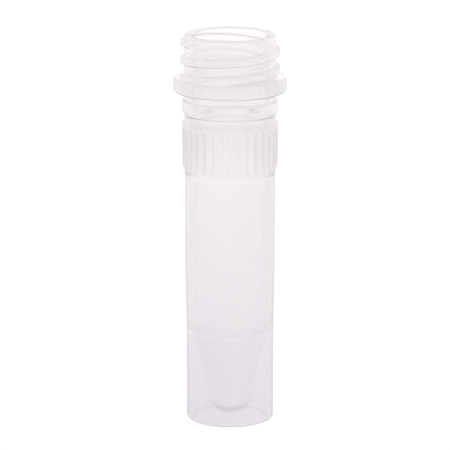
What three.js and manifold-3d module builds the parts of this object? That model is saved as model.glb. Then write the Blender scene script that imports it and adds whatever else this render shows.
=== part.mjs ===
// A 2 ml screw-cap micro tube with a self-standing skirt, open and without its cap.
//
// The real tube is one injection moulding in natural polypropylene. Here it is divided, at its own
// changes of form, into sections that meet face to face: threaded_neck, collar, retaining_bead,
// grip_band, barrel, conical_tip and skirt. They share one axis and are one rigid body.
//
// Millimetres, +Z up along the tube's axis, origin at the centre of the circle that it stands on.
// The front is -Y. The cap's thread is right-handed.

import * as THREE from "three";
import { mergeVertices, toCreasedNormals } from "three/addons/utils/BufferGeometryUtils.js";
import Module from "manifold-3d";

// ---- Levels along the axis ----
const HEIGHT = 45;
const COLLAR_TOP_Z = 40.15;
const COLLAR_BOTTOM_Z = 38.45;
const BEAD_TOP_Z = 37.6;
const BEAD_BOTTOM_Z = 35.95;
const BAND_TOP_Z = 35.15;
const RIB_TOP_Z = 34.5; // the ribs start under a plain shoulder
const BAND_BOTTOM_Z = 29.7;
const TAPER_TOP_Z = 17.5; // above this the barrel is nearly straight
const CONE_TOP_Z = 11.6; // the vessel's inside turns from barrel to cone, and the skirt begins
const GROOVE_Z = 10.8; // closed end of the groove between the cone and the skirt
const TIP_CENTRE_Z = 3.15; // centre of the hemispheres that close the vessel

// ---- Outside radii ----
const COLLAR_R = 6.5;
const NECK_R = 5.2;
const BEAD_R = 5.5;
const BAND_R = 5.5; // over the shoulder
const RIB_R = 5.48; // at the ribs' upper ends
const BAND_FLOOR_R = 5.22; // between the ribs
const BARREL_TOP_R = 5.18;
const TAPER_TOP_R = 5.14;
const SKIRT_R = 5.0;
const SPLIT_R = 4.3; // where the cone's wall joins the skirt's
const TIP_R = 2.6;

// ---- Inside radii ----
const MOUTH_BORE_R = 4.2;
const TAPER_TOP_BORE_R = 4.12;
const CONE_TOP_BORE_R = 4.05;
const TIP_BORE_R = 1.7;
const GROOVE_R = 4.42; // the skirt's inside at the closed end of its groove
const FOOT_BORE_R = 4.48;

// ---- Rounded edges ----
const LIP_ROUND = 0.2;
const LIP_INNER_ROUND = 0.18;
const COLLAR_TOP_ROUND = 0.3;
const COLLAR_BOTTOM_ROUND = 0.3;
const BEAD_LEAD = 1.0; // height of the bead's sloping lower side
const BEAD_ROUND = 0.22;
const SHOULDER_DROP = 0.5; // height of the curve from the neck out to the grip band
const FOOT_ROUND = 0.25;

// ---- Cap thread: one start, right-handed ----
const THREAD_PITCH = 2.0;
const THREAD_HEIGHT = 0.48;
const THREAD_BASE_WIDTH = 1.3;
const THREAD_CREST_ROUND = 0.3;
const THREAD_TOP_Z = 44.26; // height of its centre line at its upper end
const THREAD_TOP_ANGLE = THREE.MathUtils.degToRad(216); // azimuth of that end, from +X
const THREAD_SWEEP = THREE.MathUtils.degToRad(840);
const THREAD_RUNOUT = THREE.MathUtils.degToRad(30); // it rises out of the neck over this angle
const THREAD_LEAD = THREE.MathUtils.degToRad(6); // and begins this far up that rise, inside the wall

// ---- Grip ribs ----
const RIB_COUNT = 30;
const RIB_WIDTH = 0.62;
const RIB_DRAFT = 0.07; // how much less they stand out at their lower ends

// ---- Facets ----
const SEGMENTS = 60;
const EDGE_STEPS = 2;
const TIP_STEPS = 4;
const THREAD_STEPS_PER_TURN = 30;
const CREASE = THREE.MathUtils.degToRad(30);

// How far a ridge or rib reaches into the wall before the two are joined.
const ROOT_DEPTH = 0.25;

// A radius under this is on the axis.
const ON_AXIS = 1e-6;

const wasm = await Module();
wasm.setup();

// A closed three.js geometry as a manifold-3d solid.
function toSolid(geometry) {
  const bare = geometry.clone();
  bare.deleteAttribute("normal");
  bare.deleteAttribute("uv");
  const merged = mergeVertices(bare, 1e-4);
  return new wasm.Manifold(
    new wasm.Mesh({
      numProp: 3,
      vertProperties: new Float32Array(merged.getAttribute("position").array),
      triVerts: new Uint32Array(merged.index.array),
    }),
  );
}

// A manifold-3d solid as a three.js geometry.
function toGeometry(solid) {
  const mesh = solid.getMesh();
  const geometry = new THREE.BufferGeometry();
  geometry.setAttribute("position", new THREE.BufferAttribute(mesh.vertProperties, 3));
  geometry.setIndex(new THREE.BufferAttribute(mesh.triVerts, 1));
  return toCreasedNormals(geometry, CREASE);
}

// Turns an outline, drawn as (radius, height) anticlockwise, about the tube's axis.
// An outline that doesn't begin on the axis is closed into a ring.
function turned(outline, steps = EDGE_STEPS) {
  const points = outline.getPoints(steps);
  if (points[0].x > ON_AXIS) {
    points.push(points[0].clone());
  }
  const geometry = new THREE.LatheGeometry(points, SEGMENTS);
  geometry.rotateX(Math.PI / 2);
  return geometry;
}

// The straight bore's radius at a height: it widens a little towards the mouth.
function boreRadius(z) {
  return THREE.MathUtils.mapLinear(z, TAPER_TOP_Z, HEIGHT, TAPER_TOP_BORE_R, MOUTH_BORE_R);
}

// The helical ridge: its section is run straight by ExtrudeGeometry, then wound round the neck from
// its upper end down. At the top it rises out of the wall, and its lower end runs into the collar.
function threadRidge() {
  const half = THREAD_BASE_WIDTH / 2;
  const crestCentre = ROOT_DEPTH + THREAD_HEIGHT - THREAD_CREST_ROUND;
  const section = new THREE.Shape();
  section.moveTo(0, -half);
  section.lineTo(ROOT_DEPTH, -half);
  section.lineTo(crestCentre, -THREAD_CREST_ROUND);
  section.absarc(crestCentre, 0, THREAD_CREST_ROUND, -Math.PI / 2, Math.PI / 2);
  section.lineTo(ROOT_DEPTH, half);
  section.lineTo(0, half);
  const geometry = new THREE.ExtrudeGeometry(section, {
    depth: THREAD_SWEEP,
    steps: Math.round((THREAD_SWEEP / (2 * Math.PI)) * THREAD_STEPS_PER_TURN),
    bevelEnabled: false,
    curveSegments: EDGE_STEPS,
  });
  const position = geometry.getAttribute("position");
  for (let i = 0; i < position.count; i++) {
    const wound = position.getZ(i);
    const angle = THREAD_TOP_ANGLE - wound;
    const rise = THREE.MathUtils.smoothstep(wound, -THREAD_LEAD, THREAD_RUNOUT);
    const radius = NECK_R - ROOT_DEPTH + position.getX(i) * rise;
    const z = THREAD_TOP_Z - (THREAD_PITCH * wound) / (2 * Math.PI) + position.getY(i);
    position.setXYZ(i, radius * Math.cos(angle), radius * Math.sin(angle), z);
  }
  return geometry;
}

// The open end: a plain ring with a rounded lip, carrying the cap's thread.
function threadedNeck() {
  const innerEdge = MOUTH_BORE_R + LIP_INNER_ROUND;
  const outline = new THREE.Path();
  outline.moveTo(boreRadius(COLLAR_TOP_Z), COLLAR_TOP_Z);
  outline.lineTo(NECK_R, COLLAR_TOP_Z);
  outline.lineTo(NECK_R, HEIGHT - LIP_ROUND);
  outline.absarc(NECK_R - LIP_ROUND, HEIGHT - LIP_ROUND, LIP_ROUND, 0, Math.PI / 2);
  outline.lineTo(innerEdge, HEIGHT);
  outline.absarc(innerEdge, HEIGHT - LIP_INNER_ROUND, LIP_INNER_ROUND, Math.PI / 2, Math.PI);
  const ring = toSolid(turned(outline));
  const below = new THREE.CylinderGeometry(COLLAR_R, COLLAR_R, 2 * THREAD_PITCH, SEGMENTS);
  below.rotateX(Math.PI / 2);
  below.translate(0, 0, COLLAR_TOP_Z - THREAD_PITCH);
  const ridge = toSolid(threadRidge()).subtract(toSolid(below));
  return toGeometry(ring.add(ridge));
}

// The round flange that the cap closes down to, and that hangs the tube in a rack. Its flat seats
// begin clear of the thread above and of the bead below.
function collar() {
  const topEdge = COLLAR_R - COLLAR_TOP_ROUND;
  const bottomEdge = COLLAR_R - COLLAR_BOTTOM_ROUND;
  const bottomRoundZ = COLLAR_BOTTOM_Z + COLLAR_BOTTOM_ROUND;
  const outline = new THREE.Path();
  outline.moveTo(boreRadius(COLLAR_BOTTOM_Z), COLLAR_BOTTOM_Z);
  outline.lineTo(BEAD_R, COLLAR_BOTTOM_Z);
  outline.lineTo(bottomEdge, COLLAR_BOTTOM_Z);
  outline.absarc(bottomEdge, bottomRoundZ, COLLAR_BOTTOM_ROUND, -Math.PI / 2, 0);
  outline.lineTo(COLLAR_R, COLLAR_TOP_Z - COLLAR_TOP_ROUND);
  outline.absarc(topEdge, COLLAR_TOP_Z - COLLAR_TOP_ROUND, COLLAR_TOP_ROUND, 0, Math.PI / 2);
  outline.lineTo(NECK_R + THREAD_HEIGHT, COLLAR_TOP_Z);
  outline.lineTo(boreRadius(COLLAR_TOP_Z), COLLAR_TOP_Z);
  return turned(outline);
}

// The neck's lower part: a groove under the collar, then a bead with a sloping lower side. The ring
// of a cap's tether snaps over the bead and turns in the groove.
function retainingBead() {
  const outline = new THREE.Path();
  outline.moveTo(boreRadius(BAND_TOP_Z), BAND_TOP_Z);
  outline.lineTo(NECK_R, BAND_TOP_Z);
  outline.lineTo(NECK_R, BEAD_BOTTOM_Z);
  outline.quadraticCurveTo(BEAD_R, BEAD_BOTTOM_Z, BEAD_R, BEAD_BOTTOM_Z + BEAD_LEAD);
  outline.lineTo(BEAD_R, BEAD_TOP_Z - BEAD_ROUND);
  outline.absarc(BEAD_R - BEAD_ROUND, BEAD_TOP_Z - BEAD_ROUND, BEAD_ROUND, 0, Math.PI / 2);
  outline.lineTo(NECK_R, BEAD_TOP_Z);
  outline.lineTo(NECK_R, COLLAR_BOTTOM_Z);
  outline.lineTo(boreRadius(COLLAR_BOTTOM_Z), COLLAR_BOTTOM_Z);
  return turned(outline);
}

// One grip rib: an upright bar with a round lower end, standing out along +X.
function ribSolid() {
  const half = RIB_WIDTH / 2;
  const rootR = BAND_FLOOR_R - ROOT_DEPTH;
  const topZ = RIB_TOP_Z + half / 2; // inside the shoulder
  const face = new THREE.Shape();
  face.moveTo(half, topZ);
  face.lineTo(-half, topZ);
  face.lineTo(-half, BAND_BOTTOM_Z + half);
  face.absarc(0, BAND_BOTTOM_Z + half, half, Math.PI, 2 * Math.PI);
  const bar = new THREE.ExtrudeGeometry(face, {
    depth: RIB_R - rootR,
    bevelEnabled: false,
    curveSegments: 2 * EDGE_STEPS,
  });
  // The face is drawn in X and Y: this turns Y up to Z, and the extrusion's depth out along X.
  bar.rotateX(Math.PI / 2);
  bar.rotateZ(Math.PI / 2);
  bar.translate(rootR, 0, 0);
  const position = bar.getAttribute("position");
  for (let i = 0; i < position.count; i++) {
    if (position.getX(i) > BAND_FLOOR_R) {
      const drop = THREE.MathUtils.inverseLerp(topZ, BAND_BOTTOM_Z, position.getZ(i));
      position.setX(i, RIB_R - RIB_DRAFT * drop);
    }
  }
  return toSolid(bar);
}

// The ring that fingers or a capping tool's teeth grip: a plain shoulder over a row of ribs.
function gripBand() {
  const outline = new THREE.Path();
  outline.moveTo(boreRadius(BAND_BOTTOM_Z), BAND_BOTTOM_Z);
  outline.lineTo(BAND_FLOOR_R, BAND_BOTTOM_Z);
  outline.lineTo(BAND_FLOOR_R, RIB_TOP_Z);
  outline.lineTo(BAND_R, RIB_TOP_Z);
  outline.lineTo(BAND_R, BAND_TOP_Z - SHOULDER_DROP);
  outline.quadraticCurveTo(BAND_R, BAND_TOP_Z - SHOULDER_DROP / 2, NECK_R, BAND_TOP_Z);
  outline.lineTo(boreRadius(BAND_TOP_Z), BAND_TOP_Z);
  const rib = ribSolid();
  const pitch = 360 / RIB_COUNT;
  let band = toSolid(turned(outline));
  for (let i = 0; i < RIB_COUNT; i++) {
    band = band.add(rib.rotate([0, 0, pitch * (i + 0.5)]));
  }
  return toGeometry(band);
}

// The long wall of the vessel, which narrows a little towards the skirt.
function barrel() {
  const outline = new THREE.Path();
  outline.moveTo(CONE_TOP_BORE_R, CONE_TOP_Z);
  outline.lineTo(SKIRT_R, CONE_TOP_Z);
  outline.lineTo(TAPER_TOP_R, TAPER_TOP_Z);
  outline.lineTo(BARREL_TOP_R, BAND_BOTTOM_Z);
  outline.lineTo(boreRadius(BAND_BOTTOM_Z), BAND_BOTTOM_Z);
  outline.lineTo(TAPER_TOP_BORE_R, TAPER_TOP_Z);
  return turned(outline);
}

// The cone that closes the vessel inside the skirt, with a hemispherical end.
function conicalTip() {
  const outerSlope = Math.atan2(SPLIT_R - TIP_R, GROOVE_Z - TIP_CENTRE_Z);
  const innerSlope = Math.atan2(CONE_TOP_BORE_R - TIP_BORE_R, CONE_TOP_Z - TIP_CENTRE_Z);
  const outline = new THREE.Path();
  outline.absarc(0, TIP_CENTRE_Z, TIP_R, -Math.PI / 2, -outerSlope);
  outline.lineTo(SPLIT_R, GROOVE_Z);
  outline.lineTo(SPLIT_R, CONE_TOP_Z);
  outline.lineTo(CONE_TOP_BORE_R, CONE_TOP_Z);
  outline.absarc(0, TIP_CENTRE_Z, TIP_BORE_R, -innerSlope, -Math.PI / 2, true);
  return turned(outline, TIP_STEPS);
}

// The stand: a thin open ring round the cone, whose foot the tube rests on.
function skirt() {
  const outline = new THREE.Path();
  outline.moveTo(FOOT_BORE_R, 0);
  outline.lineTo(SKIRT_R - FOOT_ROUND, 0);
  outline.absarc(SKIRT_R - FOOT_ROUND, FOOT_ROUND, FOOT_ROUND, -Math.PI / 2, 0);
  outline.lineTo(SKIRT_R, CONE_TOP_Z);
  outline.lineTo(SPLIT_R, CONE_TOP_Z);
  outline.lineTo(SPLIT_R, GROOVE_Z);
  outline.lineTo(GROOVE_R, GROOVE_Z);
  return turned(outline);
}

// Natural polypropylene: milky, see-through and faintly glossy.
function polypropylene(roughness) {
  return new THREE.MeshStandardMaterial({
    color: 0xf1ebef,
    roughness,
    metalness: 0,
    transparent: true,
    opacity: 0.6,
  });
}

const sections = [
  { name: "threaded_neck", shape: threadedNeck, roughness: 0.2 },
  { name: "collar", shape: collar, roughness: 0.22 },
  { name: "retaining_bead", shape: retainingBead, roughness: 0.22 },
  { name: "grip_band", shape: gripBand, roughness: 0.3 },
  { name: "barrel", shape: barrel, roughness: 0.25 },
  { name: "conical_tip", shape: conicalTip, roughness: 0.25 },
  { name: "skirt", shape: skirt, roughness: 0.25 },
];

const tube = new THREE.Group();
for (const { name, shape, roughness } of sections) {
  const mesh = new THREE.Mesh(shape(), polypropylene(roughness));
  mesh.name = name;
  tube.add(mesh);
}

export default tube;
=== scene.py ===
import math

import bpy
import numpy as np
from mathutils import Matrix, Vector

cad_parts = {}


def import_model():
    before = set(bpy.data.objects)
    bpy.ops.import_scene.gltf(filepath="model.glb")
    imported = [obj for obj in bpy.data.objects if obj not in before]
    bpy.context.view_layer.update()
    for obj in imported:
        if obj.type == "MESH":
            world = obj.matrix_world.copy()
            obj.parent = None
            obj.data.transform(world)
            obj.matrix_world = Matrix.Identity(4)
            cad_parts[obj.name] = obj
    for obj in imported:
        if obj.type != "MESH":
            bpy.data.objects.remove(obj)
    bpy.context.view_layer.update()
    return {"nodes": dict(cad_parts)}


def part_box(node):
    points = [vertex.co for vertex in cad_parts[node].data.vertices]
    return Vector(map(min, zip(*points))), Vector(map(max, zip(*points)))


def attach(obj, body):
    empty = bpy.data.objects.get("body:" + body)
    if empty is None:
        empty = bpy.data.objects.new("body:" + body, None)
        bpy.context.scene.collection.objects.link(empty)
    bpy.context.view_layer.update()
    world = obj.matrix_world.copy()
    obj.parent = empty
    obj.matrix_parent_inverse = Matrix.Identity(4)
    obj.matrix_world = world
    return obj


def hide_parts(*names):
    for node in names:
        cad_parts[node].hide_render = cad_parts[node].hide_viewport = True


# A self-standing screw-cap micro tube without its cap: one hazy moulding on a light table.

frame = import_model()

MM = 0.001

# ---- Levels and radii that the CAD sections give, in millimetres ----


def level_and_radius(node):
    """A node's lowest and highest level and its radius."""
    low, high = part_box(node)
    return low[2] / MM, high[2] / MM, high[0] / MM


COLLAR_TOP_Z, RIM_Z, THREAD_R = level_and_radius("threaded_neck")
COLLAR_BOTTOM_Z, _, COLLAR_R = level_and_radius("collar")
BAND_TOP_Z, _, BEAD_R = level_and_radius("retaining_bead")
BAND_BOTTOM_Z, _, BAND_R = level_and_radius("grip_band")
CONE_TOP_Z, _, BARREL_TOP_R = level_and_radius("barrel")
TIP_Z, _, SPLIT_R = level_and_radius("conical_tip")  # divided from the skirt's wall at SPLIT_R
FOOT_Z, _, SKIRT_R = level_and_radius("skirt")

# ---- The moulding's other dimensions, in millimetres ----

# The bore
TIP_BORE_R = 1.7
CONE_TOP_BORE_R = 4.05
TAPER_TOP_BORE_R = 4.12
MOUTH_BORE_R = 4.2

# The neck, its rim and the collar
NECK_R = 5.2
RIM_TOP_R = 4.95
RIM_SLOPE = 0.07  # how much lower the rim is at the bore
COLLAR_TOP_ROUND = 0.4
COLLAR_BOTTOM_ROUND = 0.45

# The bead, whose lower part tapers in
BEAD_TOP_Z = COLLAR_BOTTOM_Z - 0.85
BEAD_BOTTOM_Z = BAND_TOP_Z + 0.8
BEAD_TAPER_Z = BEAD_BOTTOM_Z + 0.75
BEAD_BOTTOM_R = BEAD_R - 0.1

# The barrel, which tapers from TAPER_TOP_Z down to the skirt's radius
BARREL_TOP_Z = BAND_BOTTOM_Z - 0.1
TAPER_TOP_Z = 17.5
TAPER_TOP_R = 5.14
TAPER_BOTTOM_Z = CONE_TOP_Z - 1.0

# The round tip, and the groove between the cone and the skirt
TIP_R = 2.6
TIP_CENTRE_Z = TIP_Z + TIP_R
GROOVE_Z = CONE_TOP_Z - 0.8  # the groove's closed end
GROOVE_R = 4.42  # the skirt's inside there
FOOT_BORE_R = 4.48  # and at the foot

# The corners' roundings
RIM_ROUND = 0.2
MOUTH_ROUND = 0.18
NECK_ROOT_ROUND = 0.1
BEAD_TOP_ROUND = 0.24
BEAD_TAPER_ROUND = 0.3
BEAD_BOTTOM_ROUND = 0.17
TAPER_TOP_ROUND = 3.0
TAPER_BOTTOM_ROUND = 2.0
CONE_TOP_ROUND = 0.6
FOOT_ROUND = 0.35
EASED = 0.08  # for a corner that is barely rounded
SHARP = 0.05  # and for one that looks sharp

# ---- Cap thread ----

THREAD_PITCH = 2.0
THREAD_TOP_Z = 44.26
THREAD_TOP_ANGLE = math.radians(216)
THREAD_TURNS = 3  # the last one runs into the collar
THREAD_RUNOUT = math.radians(30)
THREAD_FLAT = 0.3  # half the crest's width
THREAD_FOOT_ABOVE = 0.66  # from the crest's middle to where the upper flank meets the neck
THREAD_FOOT_BELOW = 0.54  # and the steeper lower flank

# ---- Grip ribs ----

RIB_COUNT = 30
RIB_WIDTH = 0.62
RIB_TOP_Z = 34.45
RIB_END_Z = BAND_BOTTOM_Z + RIB_WIDTH / 2  # where the ribs' round ends begin
GROOVE_TOP_RISE = 0.12  # the height over which the grooves rise to the shoulder
RIB_DRAFT = 0.07  # how much less the ribs stand out at their lower ends
RIB_EDGE = 0.06  # half the width of a rib's flank
BAND_FLOOR_R = 5.22
SHOULDER_DROP = 0.5

# ---- Fineness of the mesh ----

COLUMNS_ON_HALF_RIB = 3
COLUMNS_BESIDE_RIB = 3
AROUND = RIB_COUNT * 2 * (COLUMNS_ON_HALF_RIB + COLUMNS_BESIDE_RIB)
ARC_STEPS = 5
TIP_BORE_STEPS = 14
TIP_STEPS = 18
SHOULDER_STEPS = 20
RIB_STEPS = 8
RIB_END_STEPS = 12
SHOULDER_END_Z = RIB_TOP_Z - 0.15  # just below the grooves' upper ends
BAND_END_Z = BAND_BOTTOM_Z - 0.08  # just below the ribs' lower ends
THREAD_END_Z = COLLAR_TOP_Z - 0.01  # just below the collar's flat top
THREAD_STEP = 0.09
NECK_STEP = 0.5
BARREL_STEP = 1.5
TOUCHING = 1e-6  # levels and radii closer than this are the same


def smoothstep(low, high, x):
    """A smooth way from 0 at low to 1 at high."""
    t = np.clip((x - low) / (high - low), 0, 1)
    return t * t * (3 - 2 * t)


def unit(v):
    return v / np.linalg.norm(v)


def turn_between(start, end):
    """The angle from one vector to another, positive anticlockwise."""
    return math.atan2(start[0] * end[1] - start[1] * end[0], start @ end)


def rounded(corners):
    """The outline through (radius, height, rounding) corners, turning on an arc at each corner."""
    points = []
    for i, (r, z, rounding) in enumerate(corners):
        corner = np.array((r, z), float)
        if rounding == 0:
            points.append(corner)
            continue
        back = unit(np.array(corners[i - 1][:2]) - corner)
        ahead = unit(np.array(corners[i + 1][:2]) - corner)
        half = math.acos(np.clip(back @ ahead, -1, 1)) / 2
        centre = corner + unit(back + ahead) * rounding / math.sin(half)
        start = corner + back * rounding / math.tan(half) - centre
        end = corner + ahead * rounding / math.tan(half) - centre
        for t in np.linspace(0, turn_between(start, end), ARC_STEPS + 1):
            c, s = math.cos(t), math.sin(t)
            points.append(centre + (c * start[0] - s * start[1], s * start[0] + c * start[1]))
    return points


def refined(points, step_at):
    """The outline with extra points, no further apart than step_at(height) allows."""
    result = [points[0]]
    for a, b in zip(points, points[1:]):
        pieces = max(1, math.ceil(np.linalg.norm(b - a) / step_at((a[1] + b[1]) / 2)))
        result += [a + (b - a) * k / pieces for k in range(1, pieces + 1)]
    return result


def arc(radius, start, end, steps):
    """Points round the tip's centre, from one angle above the horizontal to another, in degrees."""
    angles = np.radians(np.linspace(start, end, steps + 1))
    return [np.array((radius * math.cos(a), TIP_CENTRE_Z + radius * math.sin(a))) for a in angles]


def lean(radius, top_r, top_z):
    """How far the cone that widens from the tip's radius to another leans from upright, in degrees."""
    return math.degrees(math.atan2(top_r - radius, top_z - TIP_CENTRE_Z))


def bore_outline():
    """From the middle of the vessel's floor, up the bore and out to the rim."""
    end = arc(TIP_BORE_R, -90, -lean(TIP_BORE_R, CONE_TOP_BORE_R, CONE_TOP_Z), TIP_BORE_STEPS)
    wall = rounded(
        [
            (*end[-1], 0),
            (CONE_TOP_BORE_R, CONE_TOP_Z, CONE_TOP_ROUND),
            (TAPER_TOP_BORE_R, TAPER_TOP_Z, 0),
            (MOUTH_BORE_R, RIM_Z - RIM_SLOPE, MOUTH_ROUND),
            (RIM_TOP_R, RIM_Z, 0),
        ]
    )
    return [*end, *wall[1:]]


def neck_step(z):
    """How far apart the neck's points may be at a height: close together where the thread is."""
    return THREAD_STEP if z > THREAD_END_Z else NECK_STEP


def neck_outline():
    """From the rim down the outside, over the collar and the bead, to the grip band."""
    corners = [
        (RIM_TOP_R, RIM_Z, 0),
        (NECK_R, RIM_Z, RIM_ROUND),
        (NECK_R, COLLAR_TOP_Z, NECK_ROOT_ROUND),
        (COLLAR_R, COLLAR_TOP_Z, COLLAR_TOP_ROUND),
        (COLLAR_R, COLLAR_BOTTOM_Z, COLLAR_BOTTOM_ROUND),
        (NECK_R, COLLAR_BOTTOM_Z, EASED),
        (NECK_R, BEAD_TOP_Z, SHARP),
        (BEAD_R, BEAD_TOP_Z, BEAD_TOP_ROUND),
        (BEAD_R, BEAD_TAPER_Z, BEAD_TAPER_ROUND),
        (BEAD_BOTTOM_R, BEAD_BOTTOM_Z, BEAD_BOTTOM_ROUND),
        (NECK_R, BEAD_BOTTOM_Z, 0),
        (NECK_R, BAND_TOP_Z, 0),
    ]
    return refined(rounded(corners), neck_step)[1:]


def band_levels():
    """The levels of the grip band's rings, from its top to just under it."""
    stretches = [
        (BAND_TOP_Z, SHOULDER_END_Z, SHOULDER_STEPS),
        (SHOULDER_END_Z, RIB_END_Z, RIB_STEPS),
        (RIB_END_Z, BAND_END_Z, RIB_END_STEPS),
    ]
    return [z for top, bottom, steps in stretches for z in np.linspace(top, bottom, steps + 1)[1:]]


def barrel_outline():
    """From the grip band down the outside, over the foot, up into the groove and down the cone to the
    middle of the tip."""
    tip = arc(TIP_R, -lean(TIP_R, SPLIT_R, GROOVE_Z), -90, TIP_STEPS)
    corners = [
        (BARREL_TOP_R, BARREL_TOP_Z, 0),
        (TAPER_TOP_R, TAPER_TOP_Z, TAPER_TOP_ROUND),
        (SKIRT_R, TAPER_BOTTOM_Z, TAPER_BOTTOM_ROUND),
        (SKIRT_R, FOOT_Z, FOOT_ROUND),
        (FOOT_BORE_R, FOOT_Z, EASED),
        (GROOVE_R, GROOVE_Z, SHARP),
        (SPLIT_R, GROOVE_Z, SHARP),
        (*tip[0], 0),
    ]
    return [*refined(rounded(corners), lambda z: BARREL_STEP), *tip[1:]]


def thread_height(angle, z):
    """How far the cap's thread stands out of the neck at an azimuth and a height."""
    height = np.zeros(np.broadcast(angle, z).shape)
    for turn in range(THREAD_TURNS):
        wound = (THREAD_TOP_ANGLE - angle) % (2 * math.pi) + 2 * math.pi * turn
        centre = THREAD_TOP_Z - THREAD_PITCH * wound / (2 * math.pi)
        rise = smoothstep(0, THREAD_RUNOUT, wound)
        foot = np.where(z > centre, THREAD_FOOT_ABOVE, THREAD_FOOT_BELOW)
        ridge = 1 - smoothstep(THREAD_FLAT, foot, np.abs(z - centre))
        height = np.maximum(height, (THREAD_R - NECK_R) * rise * ridge)
    return height


def band_radius(angle, z):
    """The grip band's outside at an azimuth and a height: a plain shoulder over round-ended ribs."""
    pitch = 2 * math.pi / RIB_COUNT
    across = (angle % pitch - pitch / 2) * BAND_R
    half = RIB_WIDTH / 2
    below = np.maximum(0, RIB_END_Z - z)
    rib = 1 - smoothstep(half - RIB_EDGE, half + RIB_EDGE, np.hypot(across, below))
    plain = smoothstep(RIB_TOP_Z - GROOVE_TOP_RISE, RIB_TOP_Z, z)
    drop = np.clip((z - BAND_TOP_Z + SHOULDER_DROP) / SHOULDER_DROP, 0, 1)
    shoulder = BAND_R - (BAND_R - NECK_R) * drop**2
    outer = shoulder - RIB_DRAFT * np.clip((RIB_TOP_Z - z) / (RIB_TOP_Z - BAND_BOTTOM_Z), 0, 1)
    return BAND_FLOOR_R + (outer - BAND_FLOOR_R) * np.maximum(rib, plain)


def azimuths():
    """The columns' azimuths, bunched at the ribs' edges so that the ribs' flanks are steep."""
    pitch = 2 * math.pi * BAND_R / RIB_COUNT
    half = RIB_WIDTH / 2
    on_rib = np.linspace(0, half - RIB_EDGE, COLUMNS_ON_HALF_RIB)
    beside = np.linspace(half + RIB_EDGE, pitch / 2, COLUMNS_BESIDE_RIB + 1)[:-1]
    right = np.concatenate([on_rib, beside])
    across = np.concatenate([-right[:0:-1], right, [pitch / 2]])
    return ((np.arange(RIB_COUNT)[:, None] + 0.5) * pitch + across).ravel() / BAND_R


def plain_ring(r, z):
    """A ring's radius at every azimuth, and its level, where the outside is round."""
    return np.full(AROUND, r), z


def neck_ring(angle, r, z):
    """A ring of the neck. The thread is raised on it, and fades out across the collar's flat top."""
    flat_top_r = COLLAR_R - COLLAR_TOP_ROUND
    if z < COLLAR_TOP_Z - TOUCHING or r > flat_top_r + TOUCHING:
        return plain_ring(r, z)
    fade = np.clip(1 - (r - NECK_R) / (flat_top_r - NECK_R), 0, 1)
    return r + fade * thread_height(angle, max(z, COLLAR_TOP_Z)), z


def band_ring(angle, z):
    """A ring of the grip band. Below the band, only the ribs' round ends stand out of the barrel."""
    radius = band_radius(angle, z)
    if z < BAND_BOTTOM_Z:
        radius = np.maximum(BARREL_TOP_R, radius)
    return radius, z


def turned_faces(rows):
    """The faces of a closed surface that has a vertex, rows of AROUND vertices each, and a vertex."""
    faces = []
    end = 1 + rows * AROUND
    for k in range(AROUND):
        following = (k + 1) % AROUND
        faces.append((0, 1 + k, 1 + following))
        for row in range(rows - 1):
            a = 1 + row * AROUND
            b = a + AROUND
            faces.append((a + k, b + k, b + following, a + following))
        a = end - AROUND
        faces.append((a + k, end, a + following))
    return faces


def moulding_mesh():
    """The whole moulding as one closed surface: the outline turned about the axis, with the thread
    and the ribs raised on it."""
    angle = azimuths()
    rings = [plain_ring(r, z) for r, z in bore_outline()]
    rings += [neck_ring(angle, r, z) for r, z in neck_outline()]
    rings += [band_ring(angle, z) for z in band_levels()]
    rings += [plain_ring(r, z) for r, z in barrel_outline()]
    (_, first_z), *body, (_, last_z) = rings
    vertices = [(0, 0, first_z)]
    for radius, z in body:
        vertices += zip(radius * np.cos(angle), radius * np.sin(angle), np.full(AROUND, z))
    vertices.append((0, 0, last_z))
    mesh = bpy.data.meshes.new("tube_moulding")
    mesh.from_pydata([tuple(MM * c for c in v) for v in vertices], [], turned_faces(len(body)))
    mesh.validate()
    mesh.shade_smooth()
    return mesh


# ---- Material: colours, and the limits in millimetres of the zones that they are for ----

PLASTIC_TINTS = ((0.985, 0.974, 0.981, 1), (1.0, 0.992, 0.994, 1))
PLASTIC_IOR = 1.49
PLASTIC_ABSORBS = (0.6, 0.5, 0.56, 1)
ABSORPTION_PER_M = 20
HAZE_COLOUR = (1, 1, 1, 1)
HAZE_PER_M = 500
HAZE_FORWARD = 0.6
CLEAR_SHARE = 1.0

# Noise: how often it varies in a millimetre, how far it is drawn out along Z, and its detail
CLOUD = (0.18, 2.5, 2)
FLOW = (1.6, 14, 3)
GRAIN = (5, 1, 2)
CLOUD_RANGE = (0.35, 0.65)
FLOW_RANGE = (0.3, 0.7)
FLOW_STRENGTH, FLOW_DEPTH = 0.25, 0.02
GRAIN_STRENGTH, GRAIN_DEPTH = 0.2, 0.004

# Painted shade in single zones: on the ribs' flanks, inside the mouth and at the groove's closed end
RIB_FLANK_PAINTED_SHADE = (0.9, 0.885, 0.905, 1)
GROOVE_END_PAINTED_SHADE = (0.84, 0.83, 0.86, 1)
NECK_BORE_PAINTED_SHADE = (0.955, 0.945, 0.945, 1)

# Tints of a wall seen along its length: partly its deeper colour and partly painted shade, such as the
# dark painted line on the lip and the dark painted crescent on the tip
EDGE_TINT_AND_PAINTED_SHADE = (0.33, 0.35, 0.39, 1)
TIP_EDGE_TINT_AND_PAINTED_SHADE = (0.26, 0.3, 0.35, 1)
LIP_EDGE_PAINTED_SHADE = (0.12, 0.12, 0.14, 1)
RIB_EDGE_TINT_AND_PAINTED_SHADE = (0.98, 0.97, 0.975, 1)
EDGE_FROM, EDGE_TO = 0.6, 1.0
UNDER_EDGE_FROM, UNDER_EDGE_TO = 0.15, 0.75
LIP_EDGE_FROM, LIP_EDGE_TO = 0.74, 0.95

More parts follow.
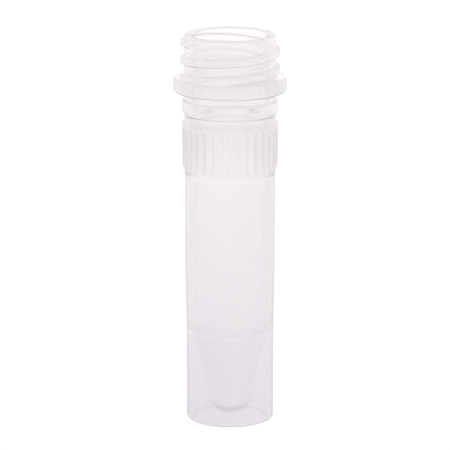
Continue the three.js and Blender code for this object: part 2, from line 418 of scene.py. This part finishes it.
# The outward normal's Z where a face begins, and is all, a face that turns under, which gets painted
# shade sooner, or looks up, which is left out of it
UNDER_FROM, UNDER_TO = -0.25, -0.6
UP_FROM, UP_TO = 0.8, 0.95

# Roughness of zones
ROUGHNESS_RANGE = (0.04, 0.08)
CORE_ROUGHNESS = 0.25
RIB_ROUGHNESS = 0.28
NECK_BORE_ROUGHNESS = 0.16

# Limits of zones, and how far they fade past them
CORE_R, CORE_R_FADE = 4.5, 0.1
CORE_TOP_Z, CORE_TOP_FADE = 36, 1
TIP_SKIN_HALF, TIP_SKIN_FADE = 0.1, 0.2
TIP_FADE_TOP_Z, TIP_FADE_BOTTOM_Z = 3.6, 2.2
LIP_DEPTH, LIP_FADE = 0.3, 0.1
FLANK_LOW_R, FLANK_HIGH_R, FLANK_FADE = BAND_FLOOR_R + 0.04, BAND_FLOOR_R + 0.17, 0.03
RIBS_LOW_Z, RIBS_HIGH_Z, RIBS_FADE = BAND_BOTTOM_Z - 0.3, RIB_TOP_Z - 0.1, 0.2
GROOVE_END_HALF, GROOVE_END_FADE = 0.05, 0.1
GROOVE_END_INNER_FADE = 0.15

# Where ShaderNodeMix keeps the sockets that it uses for colours
MIX_FACTOR, MIX_FIRST_COLOUR, MIX_SECOND_COLOUR, MIX_COLOUR = 0, 6, 7, 2


def node(tree, kind, inputs=(), **settings):
    """Adds a shader node, with its settings, and its input sockets' values or the sockets that feed
    them."""
    new = tree.nodes.new(kind)
    for name, value in settings.items():
        setattr(new, name, value)
    for socket, value in dict(inputs).items():
        if isinstance(value, bpy.types.NodeSocket):
            tree.links.new(value, new.inputs[socket])
        else:
            new.inputs[socket].default_value = value
    return new


def noise(tree, place, per_mm, stretch, detail):
    """Noise that varies over 1 / per_mm millimetres, drawn out stretch times as far along Z."""
    scale = per_mm / MM
    mapping = node(
        tree, "ShaderNodeMapping", {"Vector": place, "Scale": (scale, scale, scale / stretch)}
    )
    texture = node(
        tree, "ShaderNodeTexNoise", {"Vector": mapping.outputs["Vector"], "Scale": 1, "Detail": detail}
    )
    return texture.outputs["Fac"]


def remap(tree, value, low, high, to_low=0, to_high=1, kind="LINEAR"):
    """A value's way from low to high, as a number from to_low to to_high."""
    return node(
        tree,
        "ShaderNodeMapRange",
        {"Value": value, "From Min": low, "From Max": high, "To Min": to_low, "To Max": to_high},
        interpolation_type=kind,
    ).outputs["Result"]


def opposite(tree, share):
    """1 where a share is 0, and 0 where it is 1."""
    return remap(tree, share, 1, 0)


def blend(tree, factor, first, second):
    """A colour between two, which may be colours or sockets."""
    return node(
        tree,
        "ShaderNodeMix",
        {MIX_FACTOR: factor, MIX_FIRST_COLOUR: first, MIX_SECOND_COLOUR: second},
        data_type="RGBA",
    ).outputs[MIX_COLOUR]


def lerp(tree, factor, first, second):
    """A number between two, which may be numbers or sockets."""
    return node(
        tree, "ShaderNodeMix", {"Factor": factor, "A": first, "B": second}, data_type="FLOAT"
    ).outputs["Result"]


def product(tree, *factors):
    """Several numbers multiplied together."""
    result = factors[0]
    for factor in factors[1:]:
        result = node(
            tree, "ShaderNodeMath", {0: result, 1: factor}, operation="MULTIPLY"
        ).outputs["Value"]
    return result


def level_of(tree, vector):
    """A vector's Z."""
    return node(tree, "ShaderNodeSeparateXYZ", {"Vector": vector}).outputs["Z"]


def length_of(tree, vector):
    """A vector's length."""
    return node(tree, "ShaderNodeVectorMath", {0: vector}, operation="LENGTH").outputs["Value"]


def radius_of(tree, place):
    """The distance from the tube's axis."""
    flat = node(
        tree, "ShaderNodeVectorMath", {0: place, 1: (1, 1, 0)}, operation="MULTIPLY"
    ).outputs["Vector"]
    return length_of(tree, flat)


def ramp_mm(tree, value, zero_at, one_at):
    """From 0 at one size in millimetres to 1 at another."""
    return remap(tree, value, zero_at * MM, one_at * MM)


def within_mm(tree, value, low, high, fade):
    """1 from low to high in millimetres, fading to 0 on either side."""
    return product(
        tree,
        ramp_mm(tree, value, low - fade, low),
        ramp_mm(tree, value, high + fade, high),
    )


# ---- Zones of the moulding, each 1 where it is and 0 elsewhere ----


def tip_skin(tree, place):
    """The outside of the round tip."""
    centre = (0, 0, TIP_CENTRE_Z * MM)
    offset = node(
        tree, "ShaderNodeVectorMath", {0: place, 1: centre}, operation="SUBTRACT"
    ).outputs["Vector"]
    low, high = TIP_R - TIP_SKIN_HALF, TIP_R + TIP_SKIN_HALF
    return product(
        tree,
        within_mm(tree, length_of(tree, offset), low, high, TIP_SKIN_FADE),
        ramp_mm(tree, level_of(tree, place), TIP_FADE_TOP_Z, TIP_FADE_BOTTOM_Z),
    )


def core_finish(tree, place):
    """The faces that the mould's matt core pins leave: the bore below the neck, and the groove round
    the cone apart from the round tip."""
    return product(
        tree,
        ramp_mm(tree, radius_of(tree, place), CORE_R + CORE_R_FADE, CORE_R),
        ramp_mm(tree, level_of(tree, place), CORE_TOP_Z + CORE_TOP_FADE, CORE_TOP_Z),
        opposite(tree, tip_skin(tree, place)),
    )


def neck_bore(tree, place):
    """The mouth's inside, coming in across the collar's height: duller there, and darkened by painted
    shade.
    """
    return product(
        tree,
        ramp_mm(tree, radius_of(tree, place), CORE_R + CORE_R_FADE, CORE_R),
        ramp_mm(tree, level_of(tree, place), COLLAR_BOTTOM_Z, COLLAR_TOP_Z),
    )


def lip(tree, place):
    """The rim and the roundings beside it."""
    low = RIM_Z - LIP_DEPTH
    return ramp_mm(tree, level_of(tree, place), low - LIP_FADE, low)


def on_ribs(tree, place):
    """The ribbed part of the grip band, inside and out."""
    return within_mm(tree, level_of(tree, place), RIBS_LOW_Z, RIBS_HIGH_Z, RIBS_FADE)


def rib_flanks(tree, place):
    """The ribs' flanks, without their crowns and the floor between them, where painted shade darkens
    them.
    """
    return product(
        tree,
        within_mm(tree, radius_of(tree, place), FLANK_LOW_R, FLANK_HIGH_R, FLANK_FADE),
        on_ribs(tree, place),
    )


def groove_end(tree, place):
    """The closed end of the groove between the cone and the skirt, which painted shade darkens."""
    radius = radius_of(tree, place)
    low, high = GROOVE_Z - GROOVE_END_HALF, GROOVE_Z + GROOVE_END_HALF
    outer = GROOVE_R + GROOVE_END_HALF
    return product(
        tree,
        ramp_mm(tree, radius, SPLIT_R - GROOVE_END_INNER_FADE, SPLIT_R),
        ramp_mm(tree, radius, outer + GROOVE_END_FADE, outer),
        within_mm(tree, level_of(tree, place), low, high, GROOVE_END_FADE),
    )


# ---- Edges, partly darkened by painted shade ----


def outward_z(tree):
    """How far the moulding's outward normal points up, from -1 to 1, on either side of the skin."""
    upward = level_of(tree, node(tree, "ShaderNodeTexCoord").outputs["Normal"])
    backfacing = node(tree, "ShaderNodeNewGeometry").outputs["Backfacing"]
    return product(tree, upward, remap(tree, backfacing, 0, 1, 1, -1))


def edge(tree, place):
    """How nearly edge-on the skin is, from 0 to 1, for a tint that is partly the deeper colour of a
    wall seen along its length and partly painted shade.
    The painted shade begins sooner on edges that turn under, has limits of its own on the lip, and
    leaves out other faces that look up, so that they stay light."""
    upward = outward_z(tree)
    # Painted shade: edges that turn under darken sooner
    under = remap(tree, upward, UNDER_FROM, UNDER_TO)
    on_lip = lip(tree, place)
    low = lerp(tree, on_lip, lerp(tree, under, EDGE_FROM, UNDER_EDGE_FROM), LIP_EDGE_FROM)
    high = lerp(tree, on_lip, lerp(tree, under, EDGE_TO, UNDER_EDGE_TO), LIP_EDGE_TO)
    facing = node(tree, "ShaderNodeLayerWeight").outputs["Facing"]
    turned = remap(tree, facing, low, high, kind="SMOOTHSTEP")
    # Faces that look up are kept out of the painted shade, so they stay light
    looks_up = product(tree, remap(tree, upward, UP_FROM, UP_TO), opposite(tree, on_lip))
    return product(tree, turned, opposite(tree, looks_up))


# ---- The material ----


def plastic_colour(tree, place, core):
    """The transmitted colour: faintly cloudy, with painted shade on the ribs' flanks, inside the mouth
    and at the groove's closed end, and deeper where the skin is edge-on, partly from the wall's depth
    and partly as painted shade.
    The matt core faces have no deeper edges."""
    cloud = remap(tree, noise(tree, place, *CLOUD), *CLOUD_RANGE)
    tint = blend(tree, cloud, *PLASTIC_TINTS)
    # Painted shade on the ribs' flanks
    tint = blend(tree, rib_flanks(tree, place), tint, RIB_FLANK_PAINTED_SHADE)
    # Painted shade inside the mouth
    tint = blend(tree, neck_bore(tree, place), tint, NECK_BORE_PAINTED_SHADE)
    # Painted shade at the groove's closed end
    tint = blend(tree, groove_end(tree, place), tint, GROOVE_END_PAINTED_SHADE)
    # The edge tint is partly the wall's deeper colour and partly painted shade: dark lines on the lip,
    # the tip and edges that turn under
    edge_tint_and_shade = blend(tree, on_ribs(tree, place), EDGE_TINT_AND_PAINTED_SHADE, RIB_EDGE_TINT_AND_PAINTED_SHADE)
    edge_tint_and_shade = blend(tree, tip_skin(tree, place), edge_tint_and_shade, TIP_EDGE_TINT_AND_PAINTED_SHADE)
    edge_tint_and_shade = blend(tree, lip(tree, place), edge_tint_and_shade, LIP_EDGE_PAINTED_SHADE)
    edge_tint_and_shade = blend(tree, core, edge_tint_and_shade, tint)
    return blend(tree, edge(tree, place), tint, edge_tint_and_shade)


def plastic_roughness(tree, place, core, flow):
    """Nearly polished, but duller inside the neck, on the core faces and on the ribs."""
    polished = remap(tree, flow, *FLOW_RANGE, *ROUGHNESS_RANGE)
    outer = lerp(tree, on_ribs(tree, place), polished, RIB_ROUGHNESS)
    outer = lerp(tree, neck_bore(tree, place), outer, NECK_BORE_ROUGHNESS)
    return lerp(tree, core, outer, CORE_ROUGHNESS)


def plastic_normal(tree, place, flow):
    """A skin that is drawn out along the tube and finely uneven."""
    drawn = node(
        tree,
        "ShaderNodeBump",
        {"Strength": FLOW_STRENGTH, "Distance": FLOW_DEPTH * MM, "Height": flow},
    ).outputs["Normal"]
    grain = noise(tree, place, *GRAIN)
    return node(
        tree,
        "ShaderNodeBump",
        {
            "Strength": GRAIN_STRENGTH,
            "Distance": GRAIN_DEPTH * MM,
            "Height": grain,
            "Normal": drawn,
        },
    ).outputs["Normal"]


def plastic_inside(tree):
    """A faint colour and a haze through the plastic's thickness."""
    absorption = node(
        tree,
        "ShaderNodeVolumeAbsorption",
        {"Color": PLASTIC_ABSORBS, "Density": ABSORPTION_PER_M},
    ).outputs["Volume"]
    haze = node(
        tree,
        "ShaderNodeVolumeScatter",
        {"Color": HAZE_COLOUR, "Density": HAZE_PER_M, "Anisotropy": HAZE_FORWARD},
    ).outputs["Volume"]
    return node(tree, "ShaderNodeAddShader", {0: absorption, 1: haze}).outputs["Shader"]


def polypropylene():
    """Natural polypropylene as moulded: clear but hazy, with a satin skin."""
    material = bpy.data.materials.new("natural_polypropylene")
    material.use_nodes = True
    tree = material.node_tree
    inputs = tree.nodes["Principled BSDF"].inputs
    place = node(tree, "ShaderNodeTexCoord").outputs["Object"]
    flow = noise(tree, place, *FLOW)
    core = core_finish(tree, place)
    tree.links.new(plastic_colour(tree, place, core), inputs["Base Color"])
    tree.links.new(plastic_roughness(tree, place, core, flow), inputs["Roughness"])
    tree.links.new(plastic_normal(tree, place, flow), inputs["Normal"])
    inputs["IOR"].default_value = PLASTIC_IOR
    inputs["Transmission Weight"].default_value = CLEAR_SHARE
    tree.links.new(plastic_inside(tree), tree.nodes["Material Output"].inputs["Volume"])
    return material


# ---- Stage: a light table under a white tent ----

# The table's light, darker towards the camera; Y in millimetres
TABLE_FRONT, TABLE_FRONT_Y = (0.58, 0.57, 0.61, 1), -50
TABLE_NEAR, TABLE_NEAR_Y = (0.66, 0.64, 0.69, 1), 5
TABLE_FAR, TABLE_FAR_Y = (1.02, 0.995, 1.02, 1), 150
# A painted contact shadow in the table's glow, in the ring under the foot
TABLE_PAINTED_SHADOW_UNDER_FOOT = (0.2, 0.2, 0.21, 1)
FOOT_INNER_R, FOOT_OUTER_R, FOOT_FADE = FOOT_BORE_R + 0.1, SKIRT_R - 0.1, 0.4
TABLE_ALBEDO = (0.16, 0.16, 0.16, 1)
TABLE_SEEN = (0.88, 0.88, 0.88, 1)
TABLE_HALF_M = 3
TABLE_DROP = 0.02  # in millimetres, so that the foot doesn't lie in the table's face

# The tent's light, by how far its directions point back and up
TENT_FRONT, TENT_FRONT_Y = (0.74, 0.725, 0.73, 1), -0.4
TENT_BACK, TENT_BACK_Y = (1.11, 1.075, 1.07, 1), 0.7
TENT_TOP = (1.12, 1.09, 1.08, 1)
TENT_SEEN = (1.04, 1.04, 1.04, 1)

# The camera, in millimetres and degrees
CAMERA_LENS = 259.6
CAMERA_SENSOR = 36
CAMERA_ELEVATION = 13.55
CAMERA_DISTANCE = 372.4
CAMERA_TARGET = (-0.575, 0, 22.765)
CAMERA_CLIP_M = (0.01, 10)

LIGHT_BOUNCES = 48  # enough for light that goes round inside the walls


def camera():
    """A long lens in front of the tube, looking down a little."""
    data = bpy.data.cameras.new("camera")
    data.lens = CAMERA_LENS
    data.sensor_width = CAMERA_SENSOR
    data.clip_start, data.clip_end = CAMERA_CLIP_M
    camera_object = bpy.data.objects.new("camera", data)
    bpy.context.scene.collection.objects.link(camera_object)
    elevation = math.radians(CAMERA_ELEVATION)
    away = Vector((0, -math.cos(elevation), math.sin(elevation)))
    camera_object.location = Vector(CAMERA_TARGET) * MM + away * CAMERA_DISTANCE * MM
    camera_object.rotation_mode = "QUATERNION"
    camera_object.rotation_quaternion = away.to_track_quat("Z", "Y")
    bpy.context.scene.camera = camera_object


def seen_or_lighting(tree, lighting, seen):
    """The colour for light that reaches the tube, and another for what the camera sees directly, as a
    table and a tent photograph when they are exposed to pure white."""
    path = node(tree, "ShaderNodeLightPath").outputs["Is Camera Ray"]
    return blend(tree, path, lighting, seen)


def table_light(tree):
    """The table's light, from front to far, with a painted shadow: dark in the ring under the foot."""
    place = node(tree, "ShaderNodeTexCoord").outputs["Object"]
    depth = node(tree, "ShaderNodeSeparateXYZ", {"Vector": place}).outputs["Y"]
    along = ramp_mm(tree, depth, TABLE_FRONT_Y, TABLE_FAR_Y)
    tone = node(tree, "ShaderNodeValToRGB", {"Fac": along})
    tone.color_ramp.interpolation = "EASE"
    stops = tone.color_ramp.elements
    stops[0].color = TABLE_FRONT
    stops[1].color = TABLE_FAR
    near = stops.new((TABLE_NEAR_Y - TABLE_FRONT_Y) / (TABLE_FAR_Y - TABLE_FRONT_Y))
    near.color = TABLE_NEAR
    # The painted shadow's ring under the foot
    painted_shadow_ring = within_mm(tree, radius_of(tree, place), FOOT_INNER_R, FOOT_OUTER_R, FOOT_FADE)
    return blend(tree, painted_shadow_ring, tone.outputs["Color"], TABLE_PAINTED_SHADOW_UNDER_FOOT)


def table_material():
    """A matt face that glows."""
    material = bpy.data.materials.new("floor")
    material.use_nodes = True
    tree = material.node_tree
    inputs = tree.nodes["Principled BSDF"].inputs
    glow = seen_or_lighting(tree, table_light(tree), TABLE_SEEN)
    tree.links.new(glow, inputs["Emission Color"])
    inputs["Emission Strength"].default_value = 1
    inputs["Base Color"].default_value = TABLE_ALBEDO
    inputs["Roughness"].default_value = 1
    inputs["Specular IOR Level"].default_value = 0
    return material


def floor():
    """The light table's face, just under the foot."""
    half = TABLE_HALF_M
    mesh = bpy.data.meshes.new("floor")
    mesh.from_pydata(
        [(-half, -half, 0), (half, -half, 0), (half, half, 0), (-half, half, 0)],
        [],
        [(0, 1, 2, 3)],
    )
    plane = bpy.data.objects.new("floor", mesh)
    bpy.context.scene.collection.objects.link(plane)
    mesh.materials.append(table_material())
    plane.location.z = -TABLE_DROP * MM


def world():
    """The tent's light, brightest behind and above the tube."""
    scene_world = bpy.data.worlds.new("studio")
    bpy.context.scene.world = scene_world
    scene_world.use_nodes = True
    tree = scene_world.node_tree
    direction = node(tree, "ShaderNodeTexCoord").outputs["Generated"]
    split = node(tree, "ShaderNodeSeparateXYZ", {"Vector": direction})
    behind = remap(tree, split.outputs["Y"], TENT_FRONT_Y, TENT_BACK_Y, kind="SMOOTHSTEP")
    around = blend(tree, behind, TENT_FRONT, TENT_BACK)
    light = blend(tree, remap(tree, split.outputs["Z"], 0, 1), around, TENT_TOP)
    shown = seen_or_lighting(tree, light, TENT_SEEN)
    tree.links.new(shown, tree.nodes["Background"].inputs["Color"])


moulding = bpy.data.objects.new("tube_moulding", moulding_mesh())
bpy.context.scene.collection.objects.link(moulding)
moulding.data.materials.append(polypropylene())
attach(moulding, "root")
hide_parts(*frame["nodes"])

camera()
floor()
world()

scene = bpy.context.scene
scene.view_settings.view_transform = "Standard"
scene.cycles.blur_glossy = 0
for limit in ("max", "diffuse", "glossy", "transmission", "volume"):
    setattr(scene.cycles, f"{limit}_bounces", LIGHT_BOUNCES)
